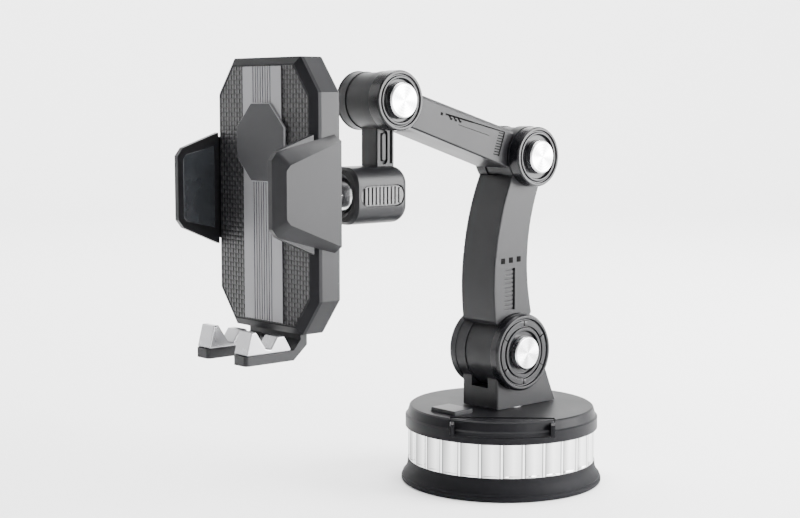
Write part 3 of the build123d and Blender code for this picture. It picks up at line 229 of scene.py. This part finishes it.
# centre (y, z), dial radius, the dial's back and front faces on X, body, disc radius
hinges = {
    "shoulder": (shoulder, 0.0171, 0.0109, 0.0153, "turntable", 0.0074),
    "elbow": (elbow, 0.0131, 0.0104, 0.0160, "lower_arm", 0.0073),
    "wrist": (wrist, 0.0122, 0.0098, 0.0160, "upper_arm", 0.0073),
}
notch_count = 6
notch_inset = 0.0041
notch_size = (0.0018, 0.0030, 0.0006)
dial_black = grained("dial_black_abs", (0.004, 0.004, 0.005), 0.24, grain=0.06, specular=0.25)
for name, (centre, radius, base, front, body, disc) in hinges.items():
    if name == "shoulder":
        outline = [
            (bolt_hole, base),
            (radius, base),
            (radius, front - 0.0010),
            (radius - 0.0009, front),
            (radius - 0.0019, front),
            (radius - 0.0023, front - 0.0009),
            (radius - 0.0028, front - 0.0009),
            (radius - 0.0030, front - 0.0002),
            (radius - 0.0052, front - 0.0002),
            (radius - 0.0054, front - 0.0010),
            (radius - 0.0059, front - 0.0010),
            (radius - 0.0061, front - 0.0001),
            (radius - 0.0073, front - 0.0001),
            (radius - 0.0078, front - 0.0015),
            (disc + 0.0001, front - 0.0015),
            (disc + 0.0001, front - 0.0008),
            (bolt_hole, front - 0.0008),
            (bolt_hole, base),
        ]
    else:
        outline = rings(radius, disc, base, front)
    dial = turned(name + "_dial_face", outline, centre, "X", edge=0.00012)
    if name == "shoulder":
        bpy.ops.object.select_all(action="DESELECT")
        bpy.ops.mesh.primitive_cube_add(size=0.001, location=(0, 0, -1))
        cutter = bpy.context.object
        bpy.ops.object.mode_set(mode="EDIT")
        bpy.ops.mesh.delete(type="VERT")
        reach = radius - notch_inset
        for step in range(notch_count):
            angle = math.radians(30 + 60 * step)
            across, upward = reach * math.cos(angle), reach * math.sin(angle)
            bpy.ops.mesh.primitive_cube_add(
                size=1,
                location=(front, centre[0] + across, centre[1] + upward),
                rotation=(angle, 0, 0),
                scale=notch_size,
            )
        bpy.ops.object.mode_set(mode="OBJECT")
        notches = dial.modifiers.new("notches", "BOOLEAN")
        notches.operation = "DIFFERENCE"
        notches.object = cutter
        bpy.ops.object.select_all(action="DESELECT")
        bpy.context.view_layer.objects.active = dial
        dial.select_set(True)
        bpy.ops.object.modifier_apply(modifier=notches.name)
        bpy.data.objects.remove(cutter)
    dial.data.materials.append(dial_black)
    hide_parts(name + "_dial")
    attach(dial, body)
    moulded(name + "_far_cap", body_black, 0.0003, 2)

# ------------------------------------------------------------------ hinge discs
# A bright aluminium disc, faced on a lathe, is pressed over each bolt head. The narrow fans that run
# out from the centre are painted highlights in the base colour, in place of the light the turning
# lines catch.


def spun(name, centre, colour, roughness):
    """Turned metal: ring-shaped tool marks, an anisotropic shine round the X axis, and painted
    highlight fans in the base colour.
    """
    fan_count = 4.0
    material = bpy.data.materials.new(name)
    material.use_nodes = True
    tree = material.node_tree
    shader = tree.nodes["Principled BSDF"]
    shader.inputs["Metallic"].default_value = 1.0
    shader.inputs["Anisotropic"].default_value = 0.75
    place = tree.nodes.new("ShaderNodeTexCoord")
    move = tree.nodes.new("ShaderNodeMapping")
    move.inputs["Location"].default_value = (0, -centre[0], -centre[1])
    tree.links.new(place.outputs["Object"], move.inputs["Vector"])
    lines = tree.nodes.new("ShaderNodeTexWave")
    lines.wave_type = "RINGS"
    lines.rings_direction = "X"
    lines.inputs["Scale"].default_value = 260.0
    lines.inputs["Distortion"].default_value = 0.4
    tree.links.new(move.outputs["Vector"], lines.inputs["Vector"])
    # Painted highlights: the fans are brighter and duller sectors painted into the base colour round
    # the centre.
    split = tree.nodes.new("ShaderNodeSeparateXYZ")
    tree.links.new(move.outputs["Vector"], split.inputs["Vector"])
    turn = tree.nodes.new("ShaderNodeMath")
    turn.operation = "ARCTAN2"
    tree.links.new(split.outputs["Z"], turn.inputs[0])
    tree.links.new(split.outputs["Y"], turn.inputs[1])
    fans = tree.nodes.new("ShaderNodeMath")
    fans.operation = "MULTIPLY"
    fans.inputs[1].default_value = fan_count
    tree.links.new(turn.outputs[0], fans.inputs[0])
    beat = tree.nodes.new("ShaderNodeMath")
    beat.operation = "SINE"
    tree.links.new(fans.outputs[0], beat.inputs[0])
    level = tree.nodes.new("ShaderNodeMapRange")
    level.inputs["From Min"].default_value = -1.0
    tree.links.new(beat.outputs[0], level.inputs["Value"])
    tint = tree.nodes.new("ShaderNodeMixRGB")
    tint.inputs["Color1"].default_value = (*[c * 0.55 for c in colour], 1)
    tint.inputs["Color2"].default_value = (*[min(1.0, c * 1.25) for c in colour], 1)
    tree.links.new(level.outputs["Result"], tint.inputs["Fac"])
    tree.links.new(tint.outputs["Color"], shader.inputs["Base Color"])
    shine = tree.nodes.new("ShaderNodeMapRange")
    shine.inputs["To Min"].default_value = roughness
    shine.inputs["To Max"].default_value = roughness + 0.1
    tree.links.new(lines.outputs["Fac"], shine.inputs["Value"])
    tree.links.new(shine.outputs["Result"], shader.inputs["Roughness"])
    tangent = tree.nodes.new("ShaderNodeTangent")
    tangent.direction_type = "RADIAL"
    tangent.axis = "X"
    tree.links.new(tangent.outputs["Tangent"], shader.inputs["Tangent"])
    bump = tree.nodes.new("ShaderNodeBump")
    bump.inputs["Strength"].default_value = 0.25
    bump.inputs["Distance"].default_value = 0.00003
    tree.links.new(lines.outputs["Fac"], bump.inputs["Height"])
    tree.links.new(bump.outputs["Normal"], shader.inputs["Normal"])
    return material


disc_rise = 0.0022
for name, (centre, radius, base, front, body, disc) in hinges.items():
    outline = [
        (0.0, front + 0.0021),
        (0.0005, front + disc_rise),
        (disc - 0.0006, front + disc_rise),
        (disc, front + 0.0016),
        (disc, front - 0.0008),
        (0.0061, front - 0.0008),
        (0.0, front - 0.0008),
    ]
    face = turned(name + "_disc_face", outline, centre, "X", edge=0.0002, segments=3)
    face.data.materials.append(spun(name + "_spun_aluminium_painted_fans", centre, (0.70, 0.70, 0.71), 0.26))
    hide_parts(name + "_disc")
    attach(face, body)

# ------------------------------------------------------------------ fluted ring
# The base stands in a bright satin-metal ring. Twenty-eight shallow hollow flutes run up it, with a
# narrow flat ridge between each pair and a small lip at the top and bottom edges.
ring_outer = 0.0419
ring_inner = 0.0380
ring_low, ring_high = 0.0099, 0.0246
ring_lips = 0.0011
flutes = 28
flute_radius = 0.0115
flute_depth = 0.0009
flute_reach = ring_outer - flute_depth + flute_radius
ring_middle = (ring_low + ring_high) / 2
ring_outline = [
    (ring_inner, ring_low),
    (ring_outer, ring_low),
    (ring_outer, ring_high),
    (ring_inner, ring_high),
    (ring_inner, ring_low),
]
ring = turned(
    "fluted_ring_metal", ring_outline, (0.0, 0.0), "Z", steps=224, edge=0.00001, segments=1
)
bpy.ops.object.select_all(action="DESELECT")
bpy.ops.mesh.primitive_cube_add(size=0.001, location=(0, 0, 0))
cutter = bpy.context.object
bpy.ops.object.mode_set(mode="EDIT")
bpy.ops.mesh.delete(type="VERT")
for step in range(flutes):
    angle = math.tau * step / flutes
    bpy.ops.mesh.primitive_cylinder_add(
        vertices=96,
        radius=flute_radius,
        depth=ring_high - ring_low - ring_lips,
        location=(flute_reach * math.cos(angle), flute_reach * math.sin(angle), ring_middle),
        rotation=(0, 0, angle),
    )
bpy.ops.object.mode_set(mode="OBJECT")
cut = ring.modifiers.new("flutes", "BOOLEAN")
cut.operation = "DIFFERENCE"
cut.use_self = True
cut.object = cutter
bpy.ops.object.select_all(action="DESELECT")
bpy.context.view_layer.objects.active = ring
ring.select_set(True)
bpy.ops.object.modifier_apply(modifier=cut.name)
bpy.data.objects.remove(cutter)
soften(ring, 0.00012, 2, 12)
ring_metal = grained(
    "satin_ring_metal_painted_sheen", (0.72, 0.72, 0.73), 0.13, grain=0.04, cell=4000.0, metallic=1.0
)
# Painted light: the base colour runs across each flute from painted shade up to a painted highlight,
# with painted dark lines beside each ridge and a painted highlight on the ridge, in place of the
# reflections the flutes would catch.
tree = ring_metal.node_tree
sweep = tree.nodes.new("ShaderNodeSeparateXYZ")
tree.links.new(tree.nodes["Texture Coordinate"].outputs["Object"], sweep.inputs["Vector"])
azimuth = tree.nodes.new("ShaderNodeMath")
azimuth.operation = "ARCTAN2"
tree.links.new(sweep.outputs["Y"], azimuth.inputs[0])
tree.links.new(sweep.outputs["X"], azimuth.inputs[1])
count = tree.nodes.new("ShaderNodeMath")
count.operation = "MULTIPLY_ADD"
count.inputs[1].default_value = flutes / math.tau
count.inputs[2].default_value = 0.5
tree.links.new(azimuth.outputs[0], count.inputs[0])
share = tree.nodes.new("ShaderNodeMath")
share.operation = "FRACT"
tree.links.new(count.outputs[0], share.inputs[0])
ridge_painted_highlight = (0.86, 0.86, 0.87, 1)
flute_painted_light = tree.nodes.new("ShaderNodeValToRGB")
flute_painted_light.color_ramp.elements[0].position = 0.0
flute_painted_light.color_ramp.elements[0].color = ridge_painted_highlight
flute_painted_light.color_ramp.elements[1].position = 1.0
flute_painted_light.color_ramp.elements[1].color = ridge_painted_highlight
for spot, level in (
    (0.045, 0.86), (0.06, 0.06), (0.085, 0.06), (0.10, 0.30), (0.30, 0.55), (0.55, 0.85),
    (0.86, 0.74), (0.90, 0.55), (0.915, 0.10), (0.94, 0.10), (0.955, 0.86),
):
    stop = flute_painted_light.color_ramp.elements.new(spot)
    stop.color = (level, level, level, 1)
tree.links.new(share.outputs[0], flute_painted_light.inputs["Fac"])
tree.links.new(flute_painted_light.outputs["Color"], tree.nodes["Principled BSDF"].inputs["Base Color"])
ring.data.materials.append(ring_metal)
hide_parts("fluted_ring")
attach(ring, "base")

# ------------------------------------------------------------------ suction cup and pad
# The cup is matt black rubber with a thin lip at the bottom, a groove above it and a waist up to the
# ring. A sticky gel pad fills its underside.
rubber = grained("cup_rubber", (0.004, 0.004, 0.005), 0.62, grain=0.35, cell=1500.0, specular=0.08)
moulded("suction_cup", rubber, 0.0002, 2)
gel = grained("sticky_gel", (0.030, 0.030, 0.034), 0.30, grain=0.5, cell=700.0)
moulded("gel_pad", gel, 0.0002, 2)

# ------------------------------------------------------------------ hardware inside
# Bolts, nuts, washers, pins and springs are zinc-plated steel. The pot, the stem, the ball's liner
# and the pinion are plain moulded plastic, never meant to be seen.
plated = grained(
    "zinc_plated_steel", (0.55, 0.55, 0.56), 0.33, grain=0.1, cell=3000.0, metallic=1.0
)
inner_plastic = grained(
    "plain_inner_plastic", (0.045, 0.045, 0.050), 0.5, grain=0.2, cell=1200.0
)
hidden = {
    "plated": [
        "base_screws", "lever_pin", "lift_bar", "turntable_washer", "turntable_nut", "head_screws",
        "clamp_spring",
    ],
    "plastic": ["base_body", "pull_stem", "ball_liner", "rack_pinion"],
}
for name in hinges:
    hidden["plated"] += [name + "_bolt", name + "_spring_washers", name + "_nut"]
for kind, names in hidden.items():
    for name in names:
        nodes[name].data.materials.clear()
        nodes[name].data.materials.append(plated if kind == "plated" else inner_plastic)

# ------------------------------------------------------------------ return springs
# Three small steel coils push the stem, the swivel button and the release key back.
low_end, high_end = 0, 1
for name, joint, axis, end, left in (
    ("stem_spring", "stem_drop", (0, 0, 1), low_end, 0.80),
    ("button_spring", "swivel_button_press", (0, 0, 1), low_end, 0.80),
    ("release_spring", "release_press", (1, 0, 0), high_end, 0.66),
):
    node = nodes[name]
    coil = bpy.data.objects.new(name + "_coil", node.data.copy())
    bpy.context.scene.collection.objects.link(coil)
    coil.data.materials.clear()
    coil.data.materials.append(plated)
    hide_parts(name)
    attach(coil, node["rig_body"])
    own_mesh(coil)

# ------------------------------------------------------------------ ball stud
# The ball and its neck are one piece of polished chrome-plated steel.
chrome = grained("chromed_steel", (0.72, 0.72, 0.73), 0.16, grain=0.02, cell=900.0, metallic=1.0)
moulded("ball_stud", chrome, 0.0003, 2)

# ------------------------------------------------------------------ woven panel
# The face of the head carries a thin panel moulded with a fine basket weave: short pillows, laid
# upright and sideways in turn, with recessed gaps between them. The lying pillows carry a painted
# sheen and the gaps painted shade.
weave = bpy.data.materials.new("woven_black")
weave.use_nodes = True
tree = weave.node_tree
shader = tree.nodes["Principled BSDF"]
shader.inputs["Specular IOR Level"].default_value = 0.22
place = tree.nodes.new("ShaderNodeTexCoord")
split = tree.nodes.new("ShaderNodeSeparateXYZ")
tree.links.new(place.outputs["Object"], split.inputs["Vector"])
weave_cell = 0.0018


def wave(source, scale, kind):
    """One channel times a scale, then a math operation."""
    grow = tree.nodes.new("ShaderNodeMath")
    grow.operation = "MULTIPLY"
    grow.inputs[1].default_value = scale
    tree.links.new(source, grow.inputs[0])
    shape = tree.nodes.new("ShaderNodeMath")
    shape.operation = kind
    if kind == "PINGPONG":
        shape.inputs[1].default_value = 0.5
    tree.links.new(grow.outputs[0], shape.inputs[0])
    return shape.outputs[0]


def joined(kind, first, second):
    """A math node fed by two sockets or constants."""
    node = tree.nodes.new("ShaderNodeMath")
    node.operation = kind
    for index, item in enumerate((first, second)):
        if isinstance(item, float):
            node.inputs[index].default_value = item
        else:
            tree.links.new(item, node.inputs[index])
    return node.outputs[0]


across = wave(split.outputs["X"], 1 / weave_cell, "PINGPONG")
upward = wave(split.outputs["Z"], 1 / weave_cell, "PINGPONG")
column = wave(split.outputs["X"], 1 / weave_cell, "FLOOR")
row = wave(split.outputs["Z"], 1 / weave_cell, "FLOOR")
odd = joined("PINGPONG", joined("ADD", column, row), 1.0)
round_across = joined("SINE", joined("MULTIPLY", across, math.pi), 0.0)
round_upward = joined("SINE", joined("MULTIPLY", upward, math.pi), 0.0)
slow_across = joined("POWER", round_across, 0.3)
slow_upward = joined("POWER", round_upward, 0.3)
lying = joined("MULTIPLY", slow_across, round_upward)
standing = joined("MULTIPLY", round_across, slow_upward)
pick = tree.nodes.new("ShaderNodeMixRGB")
tree.links.new(odd, pick.inputs["Fac"])
tree.links.new(lying, pick.inputs["Color1"])
tree.links.new(standing, pick.inputs["Color2"])
height = tree.nodes.new("ShaderNodeBump")
height.inputs["Strength"].default_value = 1.0
height.inputs["Distance"].default_value = 0.00025
tree.links.new(pick.outputs["Color"], height.inputs["Height"])
tree.links.new(height.outputs["Normal"], shader.inputs["Normal"])
# Painted sheen: the lying pillows are painted lighter than the standing ones, in place of the light
# each way of the weave catches.
pillow_painted_sheen = tree.nodes.new("ShaderNodeMixRGB")
pillow_painted_sheen.inputs["Color1"].default_value = (0.026, 0.026, 0.028, 1)
pillow_painted_sheen.inputs["Color2"].default_value = (0.004, 0.004, 0.005, 1)
tree.links.new(odd, pillow_painted_sheen.inputs["Fac"])
# Painted shade: the colour falls to near black in the gaps between the pillows.
gap_painted_shade = tree.nodes.new("ShaderNodeMixRGB")
gap_painted_shade.inputs["Color1"].default_value = (0.003, 0.003, 0.003, 1)
tree.links.new(pick.outputs["Color"], gap_painted_shade.inputs["Fac"])
tree.links.new(pillow_painted_sheen.outputs["Color"], gap_painted_shade.inputs["Color2"])
tree.links.new(gap_painted_shade.outputs["Color"], shader.inputs["Base Color"])
shader.inputs["Roughness"].default_value = 0.34
nodes["weave_panel"].data.materials.clear()
nodes["weave_panel"].data.materials.append(weave)

# ------------------------------------------------------------------ ribbed strip and badge
# A satin silver-grey strip runs down the middle with eight fine grooves. A dark eight-sided plate
# sits on it, its bevelled rim left bright.
strip_grey = grained(
    "strip_silver_paint", (0.155, 0.155, 0.162), 0.38, grain=0.1, cell=2400.0, metallic=0.5
)
moulded("ribbed_strip", strip_grey, 0.00008, 2)
# Painted shade: the colour darkens from the strip's face at groove_top down to near black at
# groove_floor, in place of the shade deep in each groove.
groove_top, groove_floor = -0.13268, -0.13235
groove_shaded_strip = strip_grey.copy()
groove_shaded_strip.name = "strip_silver_paint_groove_shade"
tree = groove_shaded_strip.node_tree
depth = tree.nodes.new("ShaderNodeSeparateXYZ")
tree.links.new(tree.nodes["Texture Coordinate"].outputs["Object"], depth.inputs["Vector"])
floor_shade = tree.nodes.new("ShaderNodeMapRange")
floor_shade.inputs["From Min"].default_value = groove_top
floor_shade.inputs["From Max"].default_value = groove_floor
tree.links.new(depth.outputs["Y"], floor_shade.inputs["Value"])
shaded = tree.nodes.new("ShaderNodeMixRGB")
shaded.inputs["Color2"].default_value = (0.012, 0.012, 0.013, 1)
tree.links.new(floor_shade.outputs["Result"], shaded.inputs["Fac"])
shader = tree.nodes["Principled BSDF"]
tree.links.new(shader.inputs["Base Color"].links[0].from_socket, shaded.inputs["Color1"])
tree.links.new(shaded.outputs["Color"], shader.inputs["Base Color"])
bpy.data.objects["ribbed_strip_moulded"].data.materials[0] = groove_shaded_strip
badge_grey = grained(
    "badge_dark_grey", (0.022, 0.022, 0.024), 0.55, grain=0.25, cell=2000.0, specular=0.2
)
badge = moulded("badge_plate", badge_grey, 0.00006, 1)
badge.data.materials.append(strip_grey)
facing_front = -0.95
for face in badge.data.polygons:
    if face.normal.y > facing_front:
        face.material_index = 1

# ------------------------------------------------------------------ clamp pads
# Each clamp arm holds a glossy soft pad inside a raised black border.
pad_gloss = grained(
    "gloss_pad", (0.018, 0.020, 0.023), 0.17, grain=0.03, cell=600.0, specular=0.7
)
for name in ("right_clamp_pad", "left_clamp_pad"):
    moulded(name, pad_gloss, 0.00025, 3)

# ------------------------------------------------------------------ foot cradles
# Two bright cradles rest on the foot's bars. Each has a tall hump in front, a rounded dip and a low
# hump behind.
cradle_paint = grained(
    "cradle_silver", (0.33, 0.33, 0.34), 0.27, grain=0.06, cell=2200.0, metallic=0.9
)
moulded("foot_cradles", cradle_paint, 0.0009, 4)

# ------------------------------------------------------------------ marks on the arms
# The near face of the upper arm has a shallow printed figure: a dot, a long tapering line with three
# hooks, and a toothed bracket at the elbow end. The lower arm has three small dark windows.
mark_black = grained("mark_black", (0.002, 0.002, 0.002), 0.8, grain=0.1, specular=0.05)
mark_height = 0.0002


def marks(name, strokes, face_x, body):
    """Thin strokes on a face that looks along X, each from one (y, z) to another with a width."""
    bpy.ops.object.select_all(action="DESELECT")
    bpy.ops.mesh.primitive_cube_add(size=0.001, location=(0, 0, 0))
    piece = bpy.context.object
    piece.name = name
    bpy.ops.object.mode_set(mode="EDIT")
    bpy.ops.mesh.delete(type="VERT")
    for start, end, width in strokes:
        length = math.dist(start, end)
        bpy.ops.mesh.primitive_cube_add(
            size=1,
            location=(face_x, (start[0] + end[0]) / 2, (start[1] + end[1]) / 2),
            rotation=(math.atan2(end[1] - start[1], end[0] - start[0]), 0, 0),
            scale=(mark_height, length, width),
        )
    bpy.ops.object.mode_set(mode="OBJECT")
    piece.data.materials.append(mark_black)
    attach(piece, body)


upper_arm_face, lower_arm_face = 0.0098, 0.0104
arm_slope = math.radians(-12.8)
line_start = Vector((-0.0443, 0.1646))
line_end = Vector((-0.0090, 0.1566))
drop = Vector((math.sin(arm_slope), -math.cos(arm_slope)))
taper = line_start + (line_end - line_start) * 0.45
fine_start = line_start + drop * 0.0026 + Vector((0.008, -0.002))
fine_end = line_end + drop * 0.0024 - Vector((0.009, -0.001))
dot_start, dot_end = (-0.0472, 0.1648), (-0.0460, 0.1646)
figure = [
    (line_start, taper, 0.0007),
    (taper, line_end, 0.0005),
    (dot_start, dot_end, 0.0012),
    (fine_start, fine_end, 0.00018),
]
hook_count = 3
for step in range(hook_count):
    top = line_start + (line_end - line_start) * (0.05 + 0.075 * step)
    figure.append((top, top + Vector((0.0010, -0.0013)), 0.0007))
    figure.append((top + Vector((0.0008, -0.0015)), top + Vector((0.0020, -0.0018)), 0.0009))
bracket_end = Vector((-0.0127, 0.1463))
figure.append((line_end, bracket_end, 0.0007))
tooth_count = 9
tooth = Vector((-0.0033, 0.0006))
for step in range(tooth_count):
    root = line_end + (bracket_end - line_end) * (0.08 + 0.11 * step)
    figure.append((root, root + tooth, 0.00042))
marks("arm_figure", figure, upper_arm_face, "upper_arm")

windows = []
window_count = 3
window_size = 0.0024
half_window = Vector((window_size / 2, 0))
for step in range(window_count):
    across = shoulder[0] - 0.0088 + 0.0049 * step
    upward = shoulder[1] + 0.0408 + 0.0002 * step
    middle = Vector((across, upward))
    windows.append((middle - half_window, middle + half_window, window_size))
marks("arm_windows", windows, lower_arm_face, "lower_arm")

# ------------------------------------------------------------------ studio
# A pale round floor that curves up into a low wall, so that no horizon shows from any side.
floor_radius = 1.7
sweep_radius = 0.7
wall_height = 1.2
sweep_steps = 10
bpy.ops.object.select_all(action="DESELECT")
bpy.ops.mesh.primitive_circle_add(vertices=128, radius=floor_radius, fill_type="NGON")
floor = bpy.context.object
floor.name = "studio_floor"
bpy.ops.object.mode_set(mode="EDIT")
bpy.ops.mesh.select_all(action="SELECT")
reach, rise = floor_radius, 0.0
for step in range(1, sweep_steps + 1):
    angle = math.radians(90 * step / sweep_steps)
    next_reach = floor_radius + sweep_radius * math.sin(angle)
    next_rise = sweep_radius * (1 - math.cos(angle))
    bpy.ops.mesh.extrude_region_move(TRANSFORM_OT_translate={"value": (0, 0, next_rise - rise)})
    bpy.ops.transform.resize(value=(next_reach / reach, next_reach / reach, 1))
    reach, rise = next_reach, next_rise
bpy.ops.mesh.extrude_region_move(TRANSFORM_OT_translate={"value": (0, 0, wall_height)})
bpy.ops.mesh.delete(type="ONLY_FACE")
bpy.ops.object.mode_set(mode="OBJECT")
bpy.ops.object.shade_smooth()
paper = bpy.data.materials.new("studio_paper")
paper.use_nodes = True
shader = paper.node_tree.nodes["Principled BSDF"]
shader.inputs["Base Color"].default_value = (0.90, 0.90, 0.90, 1)
shader.inputs["Roughness"].default_value = 0.9
floor.data.materials.append(paper)

sky = bpy.data.worlds.new("studio_sky")
sky.use_nodes = True
sky.node_tree.nodes["Background"].inputs["Color"].default_value = (1.0, 1.0, 1.0, 1)
sky.node_tree.nodes["Background"].inputs["Strength"].default_value = 0.22
bpy.context.scene.world = sky

# Softboxes to the right, the side, above and in front, and a large light on the backdrop. Each row
# has the lamp's place, the point it is aimed at, its width and its power.
mount_middle = (0, -0.05, 0.1)
backdrop_middle = (-1.6, 1.6, 0.3)
for name, place, aim, size, power in (
    ("right_softbox", (0.85, 0.75, 0.45), mount_middle, 0.9, 66.0),
    ("side_softbox", (1.3, -0.15, 0.30), mount_middle, 0.4, 16.0),
    ("top_softbox", (0.1, 0.2, 1.7), mount_middle, 1.6, 20.0),
    ("front_softbox", (0.2, -1.3, 0.9), mount_middle, 0.6, 1.0),
    ("backdrop_light", (-0.45, 0.45, 2.0), backdrop_middle, 1.6, 150.0),
):
    lamp = bpy.data.lights.new(name, "AREA")
    lamp.size = size
    lamp.energy = power
    holder = bpy.data.objects.new(name, lamp)
    bpy.context.scene.collection.objects.link(holder)
    holder.location = place
    holder.rotation_euler = (Vector(aim) - Vector(place)).to_track_quat("-Z", "Y").to_euler()

camera_down = math.radians(5.90)
camera_turn = math.radians(48.2)
camera_data = bpy.data.cameras.new("camera")
camera_data.sensor_width = 36.0
camera_data.lens = 68.25
camera = bpy.data.objects.new("camera", camera_data)
bpy.context.scene.collection.objects.link(camera)
camera.location = (0.4727, -0.4839, 0.1695)
camera.rotation_euler = (math.pi / 2 - camera_down, 0, camera_turn)
bpy.context.scene.camera = camera
